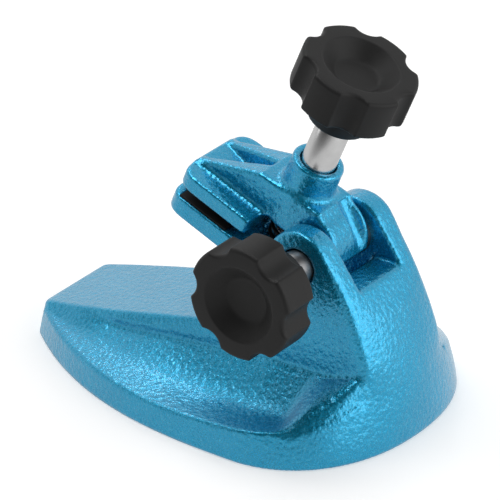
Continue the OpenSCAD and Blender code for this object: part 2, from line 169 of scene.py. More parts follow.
def makeSteel(name, dark, bright, smooth, coarse):
    material, tree, shader, where = newMaterial(name)
    grain = addNode(tree, "ShaderNodeTexNoise",
                    {"Vector": where, "Scale": perMetre(steelGrain["grain"]), "Detail": 2.0})
    cloud = addNode(tree, "ShaderNodeTexNoise",
                    {"Vector": where, "Scale": perMetre(steelGrain["cloud"]), "Detail": 3.0})
    tone = addNode(tree, "ShaderNodeMix", {0: cloud.outputs["Fac"], 6: linear(dark), 7: linear(bright)},
                   data_type="RGBA")
    tree.links.new(tone.outputs[2], shader.inputs["Base Color"])
    rough = addNode(tree, "ShaderNodeMapRange",
                    {"Value": grain.outputs["Fac"], "To Min": smooth, "To Max": coarse})
    tree.links.new(rough.outputs[0], shader.inputs["Roughness"])
    shader.inputs["Metallic"].default_value = 1.0
    return material


# Pressed rubber sheet: black, dull, with a faint grain.
sheetRubber = {
    "grain": 0.6, "relief": 0.1, "bump": 0.4, "black": "#141414", "dusty": "#1e1e1e", "rough": 0.8,
}


def makeRubber():
    material, tree, shader, where = newMaterial("blackRubber")
    grain = addNode(tree, "ShaderNodeTexNoise",
                    {"Vector": where, "Scale": perMetre(sheetRubber["grain"]), "Detail": 2.0})
    bump = addNode(tree, "ShaderNodeBump", {
        "Height": grain.outputs["Fac"], "Distance": sheetRubber["relief"] * mm, "Strength": sheetRubber["bump"],
    })
    tone = addNode(tree, "ShaderNodeMix", {
        0: grain.outputs["Fac"], 6: linear(sheetRubber["black"]), 7: linear(sheetRubber["dusty"]),
    }, data_type="RGBA")
    tree.links.new(tone.outputs[2], shader.inputs["Base Color"])
    shader.inputs["Roughness"].default_value = sheetRubber["rough"]
    tree.links.new(bump.outputs["Normal"], shader.inputs["Normal"])
    return material


paint = makePaint()
plastic = makePlastic()
steel = makeSteel("turnedBrightSteel", "#b9b9b9", "#d2d2d2", 0.16, 0.28)
greySteel = makeSteel("plainGreySteel", "#6b6b6c", "#8a8a8b", 0.32, 0.45)
# Blackened steel for the spring, kept near black so that the coil also stands in for the deep shade in the gap
# between the jaws: partly painted shade.
blackSteelAndShade = makeSteel("blackenedSpringSteelAndShade", "#202020", "#2c2c2c", 0.4, 0.5)
rubber = makeRubber()
print("materials made")


# A mesh object from points in millimetres and quads, in place of a CAD node. It rides on one body; with
# stretch, (other body, start, end) in metres, it is only fixed in world space and attached to no body, and
# stretch's values are not used.
def makePiece(name, points, quads, material, body, node, stretch=None):
    mesh = bpy.data.meshes.new(name)
    mesh.from_pydata((np.asarray(points) * mm).tolist(), [], np.asarray(quads).tolist())
    mesh.polygons.foreach_set("use_smooth", np.ones(len(mesh.polygons), bool))
    mesh.materials.append(material)
    mesh.update()
    piece = bpy.data.objects.new(name, mesh)
    bpy.context.scene.collection.objects.link(piece)
    if stretch:
        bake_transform(piece)
    else:
        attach(piece, body)
    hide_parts(node)
    return piece


# Rounded larger and smaller of two distances: max(a, b) + r h^2 / 4 with h = max(r - |a - b|, 0) / r.
def larger(a, b, r):
    h = np.maximum(r - np.abs(a - b), 0.0) / r
    return np.maximum(a, b) + h * h * r / 4


def smaller(a, b, r):
    return -larger(-a, -b, r)


# Smooth rise from 0 at start to 1 a run further on: 3 t^2 - 2 t^3.
def ease(value, start, run):
    t = np.clip((value - start) / run, 0, 1)
    return t * t * (3 - 2 * t)


def tangent(degrees):
    return math.tan(math.radians(degrees))


# Signed distance to a closed polygon: nearest side, negative inside by the even-odd rule.
def polygonField(points, p, q):
    best = np.full(np.broadcast(p, q).shape, 1e9)
    inside = np.zeros(best.shape, bool)
    ends = list(points[1:]) + [points[0]]
    for (ap, aq), (bp, bq) in zip(points, ends):
        ep, eq = bp - ap, bq - aq
        t = np.clip(((p - ap) * ep + (q - aq) * eq) / (ep * ep + eq * eq), 0, 1)
        best = np.minimum(best, np.hypot(p - ap - t * ep, q - aq - t * eq))
        if eq != 0:
            inside ^= ((aq > q) != (bq > q)) & (p < ap + (q - aq) / eq * ep)
    return np.where(inside, -best, best)


# The surface where a field is zero, as quads round each grid edge that it crosses. Points start at the mean
# of a cell's edge crossings and are then drawn onto the surface.
def zeroSurface(field, low, high, step):
    axes = [np.arange(a, b + step, step) for a, b in zip(low, high)]
    f = np.broadcast_to(field(axes[0][:, None, None], axes[1][None, :, None], axes[2][None, None, :]),
                        [len(a) for a in axes])
    shape = np.array(f.shape) - 1
    total = np.zeros((*shape, 3))
    count = np.zeros(shape)
    edges = []
    for axis in range(3):
        first = np.take(f, range(shape[axis]), axis)
        second = np.take(f, range(1, shape[axis] + 1), axis)
        cross = (first < 0) != (second < 0)
        at = np.argwhere(cross)
        t = first[cross] / (first[cross] - second[cross])
        place = at.astype(float)
        place[:, axis] += t
        others = [a for a in range(3) if a != axis]
        ring = []
        for da, db in ((0, 0), (1, 0), (1, 1), (0, 1)):
            cell = at.copy()
            cell[:, others[0]] -= da
            cell[:, others[1]] -= db
            ring.append(cell)
            good = np.all((cell >= 0) & (cell < shape), 1)
            np.add.at(total, tuple(cell[good].T), place[good])
            np.add.at(count, tuple(cell[good].T), 1)
        flip = (first[cross] < 0) != (axis == 1)
        edges.append((np.stack(ring, 1), flip))
    used = count > 0
    number = np.full(shape, -1)
    number[used] = np.arange(np.count_nonzero(used))
    points = np.array(low) + step * total[used] / count[used][:, None]
    quads = []
    for ring, flip in edges:
        q = number[ring[..., 0], ring[..., 1], ring[..., 2]]
        quads.append(np.where(flip[:, None], q[:, ::-1], q))
    quads = np.concatenate(quads)
    return drawOnto(field, points, step), quads[np.all(quads >= 0, 1)]


# Three moves along the gradient g of the field f, each p - f g / |g|^2 and at most half a grid step.
def drawOnto(field, points, step):
    probe, leastSlope = 0.02, 0.2
    for move in range(3):
        f = field(*points.T)
        g = np.stack([(field(*(points + d).T) - field(*(points - d).T)) / (2 * probe)
                      for d in np.eye(3) * probe], 1)
        shift = -f[:, None] * g / np.maximum(np.sum(g * g, 1), leastSlope)[:, None]
        points = points + np.clip(shift, -0.5 * step, 0.5 * step)
    return points


# Foot, tongue and forked post, one casting. Values that end in From, End or Run are places and lengths along y.
foot = {
    # outline and tongue
    "front": 111.5, "rear": 37.0, "width": 106.5, "tipWidth": 38.0, "tipHeight": 11.8,
    "slope": 13.0, "draft": 8.0, "wideY": -6.0, "sidePower": 2.55,
    "rearPower": 2.2, "powerDip": 0.24, "dipRise": 22.0, "dipTop": 18.0, "dipFall": 14.0,
    "rearStraight": 0.0226, "rearBow": 18.2,
    # post, slot, holes and pocket
    "pivotHeight": 59.5, "postWidth": 41.0, "earRadius": 12.4, "frontLean": 20.0, "rearLean": 35.0,
    "slotWidth": 23.6, "slotFloor": 30.0, "shelfHeight": 52.7, "shelfFront": 9.0,
    "shankHole": 13.0, "studHole": 8.1, "wall": 7.0, "pocketWidth": 27.0,
    "above": 90.0, "below": -9.0, "postDeep": -5.0, "beyond": 5.0,
    # rim of the scoops
    "rimHeight": 9.2, "rimRise": 4.0, "rimRiseFrom": -45.0, "rimTipFrom": -60.0, "rimDrop": 1.8,
    "rimPower": 1.5, "rimCorner": 13.0, "bowPower": 1.15, "closePower": 0.4, "rimLeast": 0.5,
    "scoopRear": 30.0,
    # bevel and step beside the tongue
    "creaseHeight": 26.5, "ridgeTaper": 3.1, "ridgeTaperFrom": -74.0, "ridgeTaperRun": 36.0,
    "ridgeTaperPower": 1.5, "bevelDrop": 0.6, "bevelGrow": 0.1, "bevelFrom": -90.0, "bevelLeast": 0.3,
    "bevelWidth": 1.5, "widenFrom": -100.0, "widenRun": 40.0, "crownFrom": -30.0, "crownRun": 18.0,
    "step": 3.3, "stepFrom": -95.0, "stepRun": 25.0, "stepEnd": 12.0, "stepEndRun": 17.0,
    # floor of the scoops and the dome behind it
    "floorTilt": 0.17, "tiltFrom": -106.0, "tiltRun": 30.0,
    "floorTurn": 0.25, "turnFrom": -70.0, "turnRun": 75.0,
    "lead": 0.38, "leadGrow": 0.003, "leadFrom": -40.0,
    "valleyEnd": 5.0, "valleyRun": 14.0, "valleyWeight": 3.2,
    "domePower": 0.2, "domeFrom": 8.0, "domePowerRun": 10.0, "domeRun": 9.0, "domeReach": 0.97,
    "steepStart": 0.4, "steepGrow": 2.2, "steepMost": 3.0, "crownLeast": 0.3,
    # rounding of the edges
    "rearRoll": 2.2, "rollRun": 8.0, "tipRound": 2.0, "baseRound": 0.8, "edgeRound": 1.1,
    "creaseRound": 1.0, "slotRound": 1.5, "postFillet": 4.0, "pocketRound": 3.0, "pocketEdge": 1.0,
    "shankEdge": 0.6, "studEdge": 0.5,
    # grid on which the surface is found
    "grid": 0.85, "gridLow": (-55, -113, -2), "gridHigh": (55, 39, 74),
}


# Power of the rear outline: 2.2, less halfway up the skirt, where the rear corners lean in more.
def rearPower(z):
    return foot["rearPower"] \
        - foot["powerDip"] * ease(z, 0, foot["dipRise"]) * (1 - ease(z, foot["dipTop"], foot["dipFall"]))


# Length of the rear outline behind the widest line, bowed in with the square of the height.
def rearReach(z):
    return foot["rear"] - foot["wideY"] - foot["rearStraight"] * z \
        - foot["rearBow"] * (z / foot["pivotHeight"]) ** 2


# Foot outline at a height: |x| = W - (W - T) a^2.55 ahead of the widest line, with a the share of the way to
# the tip, and behind it the superellipse (x / W)^n + (y / L)^n = 1.
def footWall(x, y, z):
    lean = tangent(foot["draft"])
    half = foot["width"] / 2 - z * lean
    tip = foot["tipWidth"] / 2 - z * lean
    frontY = -foot["front"] + z * lean
    ahead = np.clip((foot["wideY"] - y) / (foot["wideY"] - frontY), 0, 1.1)
    up = np.clip(z, 0, foot["above"])
    behind = np.maximum(y - foot["wideY"], 0) / rearReach(up)
    n = rearPower(up)
    rho = ((np.abs(x) / half) ** n + behind ** n) ** (1 / n)
    return np.where(y < foot["wideY"], np.abs(x) - half + (half - tip) * ahead ** foot["sidePower"],
                    half * (rho - 1))


# A field divided by the length of its gradient, so that it is near a distance.
def even(field, x, y, z):
    e, leastSlope = 0.05, 0.3
    gx = (field(x + e, y, z) - field(x - e, y, z)) / (2 * e)
    gy = (field(x, y + e, z) - field(x, y - e, z)) / (2 * e)
    gz = (field(x, y, z + e) - field(x, y, z - e)) / (2 * e)
    return field(x, y, z) / np.maximum(np.sqrt(gx * gx + gy * gy + gz * gz), leastSlope)


# Height of the tongue's sloping top: a straight line up from the tip's upper edge.
def tongueZ(y):
    tipY = -foot["front"] + foot["tipHeight"] * tangent(foot["draft"])
    return foot["tipHeight"] + (y - tipY) * tangent(foot["slope"])


# Side view of the post: an arc round the pivot, and its two tangents run down below the floor.
def postOutline():
    r, h, deep = foot["earRadius"], foot["pivotHeight"], foot["postDeep"]
    angles = np.radians(np.linspace(foot["rearLean"], 180 - foot["frontLean"], 25))
    arc = [(r * math.cos(a), h + r * math.sin(a)) for a in angles]
    rear = (arc[0][0] + (arc[0][1] - deep) * tangent(foot["rearLean"]), deep)
    front = (arc[-1][0] - (arc[-1][1] - deep) * tangent(foot["frontLean"]), deep)
    return arc + [front, rear]


def postMeetsTongue():
    y0 = -foot["earRadius"] * math.cos(math.radians(foot["frontLean"]))
    z0 = foot["pivotHeight"] + foot["earRadius"] * math.sin(math.radians(foot["frontLean"]))
    a = math.radians(foot["frontLean"])
    run = (z0 - tongueZ(y0)) / (math.cos(a) - math.sin(a) * tangent(foot["slope"]))
    return y0 - run * math.sin(a)


# Height of the rim where the scoop begins: level, rising to the tip and to the rear corner, and from there on
# the curve 1 - (1 - t^1.15)^0.4 up to the crease.
def rimHeight(y):
    low = foot["rimHeight"] \
        + foot["rimRise"] * (np.maximum(np.minimum(y, foot["rimCorner"]) - foot["rimRiseFrom"], 0)
                             / (foot["rimCorner"] - foot["rimRiseFrom"])) ** foot["rimPower"] \
        + (foot["tipHeight"] - foot["rimDrop"] - foot["rimHeight"]) \
        * (np.maximum(foot["rimTipFrom"] - y, 0) / (foot["rimTipFrom"] + foot["front"])) ** foot["rimPower"]
    t = np.clip((y - foot["rimCorner"]) / (foot["scoopRear"] - foot["rimCorner"]), 0, 1)
    return low + (foot["creaseHeight"] - low) * (1 - (1 - t ** foot["bowPower"]) ** foot["closePower"])


# Half width of the foot at the rim, the outline of footWall solved for x.
def rimWidth(y, z):
    lean = tangent(foot["draft"])
    half = foot["width"] / 2 - z * lean
    tip = foot["tipWidth"] / 2 - z * lean
    ahead = np.clip((foot["wideY"] - y) / (foot["wideY"] + foot["front"] - z * lean), 0, 1)
    behind = np.clip((y - foot["wideY"]) / rearReach(z), 0, 0.999)
    n = rearPower(z)
    return np.where(y < foot["wideY"], half - (half - tip) * ahead ** foot["sidePower"],
                    half * (1 - behind ** n) ** (1 / n))


# Scoop: in each cross section a rational quadratic curve from the rim r over the floor b to the foot k of the
# step, (r s^2 + 2 w b s t + k t^2) / (s^2 + 2 w s t + t^2) with s = 1 - t; over k a step and a leaning flank.
# At its rear end the valley runs out to the rim, and behind it a dome, f(d) = (1 - d^p)^(1/p) from d = 0 at the
# step to d = c at the rim, rolls into the rear wall.
def scoopField(ax, y, z):
    rimZ = rimHeight(y)
    ridge = foot["postWidth"] / 2 - foot["ridgeTaper"] \
        * (np.maximum(foot["ridgeTaperFrom"] - y, 0) / foot["ridgeTaperRun"]) ** foot["ridgeTaperPower"]
    drop = np.maximum(foot["bevelDrop"] + foot["bevelGrow"] * (y - foot["bevelFrom"]), foot["bevelLeast"])
    crease = np.minimum(tongueZ(y) - drop, foot["creaseHeight"] + np.maximum(y, 0) / foot["scoopRear"])
    stepX = ridge + foot["bevelWidth"] * ease(y, foot["widenFrom"], foot["widenRun"])
    step = foot["step"] * ease(y, foot["stepFrom"], foot["stepRun"]) \
        * (1 - ease(y, foot["stepEnd"], foot["stepEndRun"]))
    k = crease - step
    rimX = np.maximum(rimWidth(y, rimZ), stepX + foot["rimLeast"])
    shut = ease(y, foot["valleyEnd"], foot["valleyRun"])
    lead = foot["lead"] + foot["leadGrow"] * np.maximum(y - foot["leadFrom"], 0)
    bx = stepX + (lead + (1 - lead) * shut) * (rimX - stepX)
    tilt = (foot["floorTilt"] - foot["floorTurn"] * ease(y, foot["turnFrom"], foot["turnRun"])) \
        * ease(y, foot["tiltFrom"], foot["tiltRun"])
    bz = rimZ + tilt * (rimX - bx) * (1 - shut)
    w = foot["valleyWeight"]
    x = np.clip(ax, stepX, rimX)
    a = (rimX - x) - 2 * w * (bx - x) + (stepX - x)
    b = -2 * (rimX - x) + 2 * w * (bx - x)
    c = rimX - x
    root = np.sqrt(np.maximum(b * b - 4 * a * c, 0))
    t = np.clip(2 * c / np.maximum(-b + root, 1e-6), 0, 1)  # where the curve is over x
    q0, q1, q2 = (1 - t) ** 2, 2 * w * t * (1 - t), t * t
    curveZ = (q0 * rimZ + q1 * bz + q2 * k) / (q0 + q1 + q2)
    power = 1 + foot["domePower"] * ease(y, foot["domeFrom"], foot["domePowerRun"])
    low = (1 - foot["domeReach"] ** power) ** (1 / power)
    dome = (1 - (foot["domeReach"] * (x - stepX) / (rimX - stepX)) ** power) ** (1 / power)
    dome = rimZ + (k - rimZ) * (dome - low) / (1 - low)
    curveZ = curveZ + (dome - curveZ) * ease(y, foot["domeFrom"], foot["domeRun"])
    steep = (k - rimZ) / (rimX - stepX) * (foot["steepStart"] + foot["steepGrow"] * t)
    away = (curveZ - z) / np.sqrt(1 + np.clip(steep, 0, foot["steepMost"]) ** 2)  # near a distance
    crown = tongueZ(y) + (foot["pivotHeight"] - tongueZ(y)) * ease(y, foot["crownFrom"], foot["crownRun"])
    lean = (stepX - ridge) * np.clip((z - crease) / np.maximum(crown - crease, foot["crownLeast"]), 0, 1)
    end = y - foot["scoopRear"]
    return larger(larger(stepX - lean - ax, away, foot["creaseRound"]), end, foot["creaseRound"])


# Foot: the outline under the tongue and the post, less the scoops, the slot, the pocket below and two holes.
def footField(x, y, z):
    ax = np.abs(x)
    lean = math.radians(foot["draft"])
    wall = even(footWall, x, y, z)
    tip = (-foot["front"] + z * math.tan(lean) - y) * math.cos(lean)
    outer = larger(larger(wall, tip, foot["tipRound"]), -z, foot["baseRound"])
    tongue = (z - tongueZ(y)) * math.cos(math.radians(foot["slope"]))
    top = smaller(tongue, polygonField(postOutline(), y, z), foot["postFillet"])
    roll = foot["edgeRound"] + foot["rearRoll"] * ease(y, foot["domeFrom"], foot["rollRun"])
    solid = larger(outer, -scoopField(ax, y, z), roll)
    solid = larger(solid, top, foot["edgeRound"])
    far, high = foot["rear"] + foot["beyond"], foot["above"]
    slot = polygonField([(-foot["front"], foot["slotFloor"]), (0.0, foot["slotFloor"]),
                         (foot["shelfFront"], foot["shelfHeight"]), (far, foot["shelfHeight"]), (far, high),
                         (-foot["front"], high)], y, z)
    slot = larger(ax - foot["slotWidth"] / 2, slot, foot["slotRound"])
    solid = larger(solid, -slot, foot["slotRound"])
    pocketFront = -foot["front"] + foot["tipHeight"] * tangent(foot["draft"]) + 2 * foot["wall"]
    postFoot = postMeetsTongue()
    roof = min(tongueZ(postFoot), foot["slotFloor"]) - foot["wall"]
    pocketRear = -foot["earRadius"]
    pocket = polygonField([(pocketFront, foot["below"]), (pocketFront, tongueZ(pocketFront) - foot["wall"]),
                           (postFoot, roof), (pocketRear, roof), (pocketRear, foot["below"])], y, z)
    pocket = larger(ax - foot["pocketWidth"] / 2, pocket, foot["pocketRound"])
    solid = larger(solid, -pocket, foot["pocketEdge"])
    aroundPivot = np.hypot(y, z - foot["pivotHeight"])
    inner = foot["slotWidth"] / 2 - 1  # the holes start inside the slot
    solid = larger(solid, -np.maximum(aroundPivot - foot["shankHole"] / 2, inner - x), foot["shankEdge"])
    return larger(solid, -np.maximum(aroundPivot - foot["studHole"] / 2, inner + x), foot["studEdge"])


points, quads = zeroSurface(footField, foot["gridLow"], foot["gridHigh"], foot["grid"])
makePiece("footCasting", points, quads, paint, "stand", "base_casting")
print("foot casting made", len(quads))

# Clamp head, in its own frame from the pivot: u runs to the rear along the jaws, v up along the clamp screw.
head = {
    # jaw plates
    "tilt": 22.7, "width": 36.6, "reach": 53.6, "plateRear": 23.5, "plateTop": 0.5, "upperThick": 6.0,
    "gap": 4.0, "cornerRound": 7.0, "plateRearRound": 1.5, "plateRound": 1.3, "plateFillet": 2.4,
    # neck with its ribs and the vee between them
    "neckWidth": 20.0, "neckHeight": 13.6, "neckRound": 1.8,
    "ribStart": 52.6, "ribRoot": 2.0, "ribLip": 1.0, "ribTop": 30.0,
    "veeFront": 7.0, "veeRear": 1.6, "veeEnd": 31.0, "veeRootRound": 1.2, "veeRound": 1.4,
    # screw boss, tail and hub
    "screwOffset": 16.6, "bossDia": 18.0, "bossHeight": 24.5, "bossRoot": 3.0, "bossRound": 1.2,
    "bossFillet": 2.6, "tailRadius": 13.0, "tailY": -5.0, "tailDrop": 1.0, "tailCut": (7.4, 0.6),
    "tailFoot": (3.5, -7.3), "tailRound": 1.0, "tailFillet": 4.0,
    "hubRadius": 8.2, "hubFront": 9.0, "hubRound": 0.8, "hubFillet": 2.0,
    "grooveRadius": 3.2, "grooveX": -4.7, "grooveTurn": 40.0, "grooveStart": -9.5, "grooveRound": 1.0,
    # bores and pad recesses
    "seatHeight": 9.0, "shankBore": 13.0, "shankEdge": 0.6, "screwBore": 9.0, "pivotBore": 8.1,
    "springSeat": 3.0, "springBore": 15.0, "springEdge": 0.4, "boreEdge": 0.3,
    "pinY": -27.0, "pinDia": 5.0, "pinFit": 0.05, "pinHoleTop": 10.0, "pinFloor": 1.0,
    "seatDeep": 1.2, "padFront": 4.0, "padRear": 2.0, "padSide": 1.0, "padClear": 1.0,
    # lower jaw
    "lowerReach": 54.4, "lowerThick": 7.2, "lowerNeck": 19.0, "lowerRear": 7.5, "lowerDeep": 2.0, "ramp": 7.0,
    "lowerNeckRound": 1.6, "lowerNeckFillet": 2.0, "lowerBoss": 1.4, "lowerBossHalf": 3.6,
    "lowerBossInset": 0.5, "lowerBossRound": 0.8, "lowerBossFillet": 1.0, "threadBore": 8.1, "threadEdge": 0.4,
    # grids on which the surfaces are found
    "grid": 0.5, "upperLow": (-20, -56, -10), "upperHigh": (20, 10, 27),
    "lowerLow": (-20, -56, -22), "lowerHigh": (20, -5, -8),
}
gapTop = head["plateTop"] - head["upperThick"]
gapLow = gapTop - head["gap"]


# Head frame to stand frame: turned by the tilt about x and raised to the pivot.
def fromHead(points):
    t = math.radians(head["tilt"])
    x, u, v = np.asarray(points).T
    return np.stack([x, u * math.cos(t) + v * math.sin(t),
                     foot["pivotHeight"] - u * math.sin(t) + v * math.cos(t)], 1)


# Jaw plate: a box from low to high with rounded front corners.
def plateField(x, u, v, reach, low, high):
    flat = larger(np.abs(x) - head["width"] / 2, -reach - u, head["cornerRound"])
    flat = larger(flat, u + head["plateRear"], head["plateRearRound"])
    return larger(flat, np.abs(v - (low + high) / 2) - (high - low) / 2, head["plateRound"])


# Recess for a rubber pad: a sharp box inside the plate's outline.
def padRecess(x, u, v, reach, low, high):
    rear = -head["plateRear"] - head["padRear"] - head["pinDia"]
    side = np.maximum(np.abs(x) - head["width"] / 2 + head["padSide"],
                      np.maximum(-reach + head["padFront"] - u, u - rear))
    return np.maximum(side, np.maximum(low - v, v - high))


# Upper jaw: plate, wedge with a vee between its ribs, round tail and hub, and screw boss, blended, less the
# bores, the pad's recess and the groove across the tail.
def upperField(x, u, v):
    ax = np.abs(x)
    low = head["plateTop"]
    top = low + head["neckHeight"]
    plate = plateField(x, u, v, head["reach"], gapTop, low)
    cut, base = head["tailCut"], head["tailFoot"]
    wedge = polygonField([(-head["ribStart"], low - head["ribRoot"]), (-head["ribStart"], low + head["ribLip"]),
                          (-head["ribTop"], top - head["ribLip"]), (-head["screwOffset"], top),
                          (head["tailY"], top), (head["tailY"], low), (-head["hubFront"], low)], u, v)
    r, tailV = head["tailRadius"], v - low + head["tailDrop"]
    tail = larger(np.hypot(u - head["tailY"], tailV) - r,
                  polygonField([(-2 * r, low), (-2 * r, 2 * r), (2 * r, 2 * r), (2 * r, cut[1]), cut, base,
                                (-head["hubFront"], low)], u, v), head["tailRound"])
    h = head["hubRadius"]
    hub = larger(np.hypot(u, v) - h, polygonField([(-h, h), cut, base, (base[0], -h), (-h, -h)], u, v),
                 head["hubRound"])
    neck = smaller(smaller(wedge, tail, head["tailFillet"]), hub, head["hubFillet"])
    neck = larger(neck, ax - head["neckWidth"] / 2, head["neckRound"])
    vee = polygonField([(-head["veeFront"], -head["reach"] - 1), (head["veeFront"], -head["reach"] - 1),
                        (head["veeRear"], -head["veeEnd"]), (-head["veeRear"], -head["veeEnd"])], x, u)
    neck = larger(neck, -larger(vee, low - v, head["veeRootRound"]), head["veeRound"])
    rod = np.hypot(x, u + head["screwOffset"])
    boss = larger(rod - head["bossDia"] / 2, v - low - head["bossHeight"], head["bossRound"])
    boss = np.maximum(boss, low + head["bossRoot"] - v)
    solid = smaller(smaller(plate, neck, head["plateFillet"]), boss, head["bossFillet"])
    shank = np.maximum(rod - head["shankBore"] / 2, low + head["seatHeight"] - v)
    solid = larger(solid, -shank, head["shankEdge"])
    solid = larger(solid, -(rod - head["screwBore"] / 2), head["boreEdge"])
    coil = np.maximum(rod - head["springBore"] / 2, v - low - head["springSeat"])
    solid = larger(solid, -coil, head["springEdge"])
    pin = np.maximum(np.hypot(x, u - head["pinY"]) - head["pinDia"] / 2 - head["pinFit"],
                     v - head["pinHoleTop"])
    solid = larger(solid, -pin, head["boreEdge"])
    solid = larger(solid, -(np.hypot(u, v) - head["pivotBore"] / 2), head["boreEdge"])
    recess = padRecess(x, u, v, head["reach"], gapTop - head["padClear"], gapTop + head["seatDeep"])
    solid = larger(solid, -recess, head["boreEdge"])
    t = math.radians(head["grooveTurn"])
    across = (u - head["tailY"]) * math.sin(t) + tailV * math.cos(t) - r
    along = (u - head["tailY"]) * math.cos(t) - tailV * math.sin(t)
    groove = np.maximum(np.hypot(x - head["grooveX"], across) - head["grooveRadius"],
                        head["grooveStart"] - along)
    return larger(solid, -groove, head["grooveRound"])


# Lower jaw: plate, a deeper neck behind a ramp, and a short round boss, less the thread's bore, the pin's hole
# and the pad's recess.
def lowerField(x, u, v):
    low = gapLow - head["lowerThick"]
    deep = low - head["lowerDeep"]
    rear = -head["plateRear"]
    plate = plateField(x, u, v, head["lowerReach"], low, gapLow)
    neck = larger(polygonField([(rear - head["ramp"], low), (rear, deep), (-head["lowerRear"], deep),
                                (-head["lowerRear"], gapLow), (rear - head["ramp"], gapLow)], u, v),
                  np.abs(x) - head["lowerNeck"] / 2, head["lowerNeckRound"])
    rod, half = np.hypot(x, u + head["screwOffset"]), head["lowerBossHalf"]
    boss = larger(rod - head["lowerNeck"] / 2 + head["lowerBossInset"],
                  np.abs(v - deep + head["lowerBoss"] - half) - half, head["lowerBossRound"])
    solid = smaller(smaller(plate, neck, head["lowerNeckFillet"]), boss, head["lowerBossFillet"])
    solid = larger(solid, -(rod - head["threadBore"] / 2), head["threadEdge"])
    pin = np.maximum(np.hypot(x, u - head["pinY"]) - head["pinDia"] / 2, low + head["pinFloor"] - v)
    solid = larger(solid, -pin, head["boreEdge"])
    recess = padRecess(x, u, v, head["lowerReach"], gapLow - head["seatDeep"], gapLow + head["padClear"])
    return larger(solid, -recess, head["boreEdge"])


points, quads = zeroSurface(upperField, head["upperLow"], head["upperHigh"], head["grid"])
makePiece("upperJawCasting", fromHead(points), quads, paint, "clamp_head", "upper_jaw")
points, quads = zeroSurface(lowerField, head["lowerLow"], head["lowerHigh"], head["grid"])
makePiece("lowerJawCasting", fromHead(points), quads, paint, "moving_jaw", "lower_jaw")
print("jaw castings made", len(quads))

# Star knobs, measured from the end of the hub, and the screws that they are moulded on. A corner of a profile
# is a row of steps outwards and up.
knob = {
    "dia": 40.0, "height": 15.0, "hubHeight": 8.6, "hubDia": 22.0, "hubFlare": 4.0, "gripDepth": 15.0,
    "lobes": 6, "scallopRadius": 6.5, "scallopDepth": 2.5, "lobeRise": 3.0, "lobeSoft": 0.6, "edge": 1.4,
    "dishDia": 26.0, "dishFloor": 15.0, "dishDepth": 5.0, "sideTurn": -5.7, "columns": 360,
    "mouthCorner": ((0.0, 0.3), (0.3, 0.0)), "hubCorner": ((-0.8, 0.0), (-0.25, 0.2), (0.0, 0.8)),
    "flareCorner": ((-0.1, -1.2),), "filletCentre": (1.1, -1.0), "filletRound": 1.2,
    "underCorner": ((1.4, 0.0),), "lipCorner": ((2.2, 0.0), (1.4, 0.0)), "lipCentre": (0.9, -1.0),
    "lipRound": 1.0, "floorCorner": ((1.2, 0.9), (0.6, 0.42), (0.0, 0.14), (-0.7, 0.02), (-1.5, 0.0)),
}
screw = {
    "shankDia": 12.0, "studDia": 8.0, "clampShank": 19.0, "pivotShank": 9.4,
    "pitch": 1.25, "threadDepth": 0.68, "threadFlank": 2.7, "threadStep": 0.15, "threadFrom": 0.4,
    "shoulderCorner": ((0.0, 1.0), (0.0, 0.8), (-0.3, 0.4), (-0.7, 0.0)), "rootCorner": ((0.2, 0.0),),
    "pointRun": 0.8, "pointCorner": ((-0.8, 0.1), (-1.1, 0.0)),
    "clipThick": 1.0, "clipGroove": 6.8, "openTravel": 5.5, "washerThick": 1.2, "fit": 0.05, "columns": 64,
}


# Quads of a grid of points, rows along the profile and columns round the axis, closed round.
def gridQuads(rows, columns):
    a = np.arange(rows - 1)[:, None] * columns + np.arange(columns)[None, :]
    b = np.arange(rows - 1)[:, None] * columns + (np.arange(columns)[None, :] + 1) % columns
    return np.stack([a, b, b + columns, a + columns], -1).reshape(-1, 4)


# Points of a surface round z, (r cos a, r sin a, z), from a radius for each row and angle.
def roundPoints(r, angle, z):
    return np.stack([r * np.cos(angle), r * np.sin(angle), z[:, None] + 0 * r], -1).reshape(-1, 3)


# Points on an arc and at a corner, as pairs of radius and height.
def arcRow(centre, radius, start, end, steps):
    t = np.radians(np.linspace(start, end, steps))
    return list(zip(centre[0] + radius * np.cos(t), centre[1] + radius * np.sin(t)))


def cornerRow(r, z, steps):
    return [(r + out, z + up) for out, up in steps]


# Star outline: the smaller of the circle and the scallops, R = d cos f - sqrt(s^2 - d^2 sin^2 f). Past a
# scallop's edge R grows fast, so that the circle is left.
def starRadius(angle):
    sector = 2 * math.pi / knob["lobes"]
    f = np.abs((angle % sector) - sector / 2)
    d = knob["dia"] / 2 + knob["scallopRadius"] - knob["scallopDepth"]
    inside = knob["scallopRadius"] ** 2 - (d * np.sin(f)) ** 2
    notch = d * np.cos(f) - np.sqrt(np.maximum(inside, 0)) \
        + knob["lobeRise"] * np.maximum(-inside, 0) ** 0.5
    return smaller(knob["dia"] / 2 + 0 * angle, notch, knob["lobeSoft"])


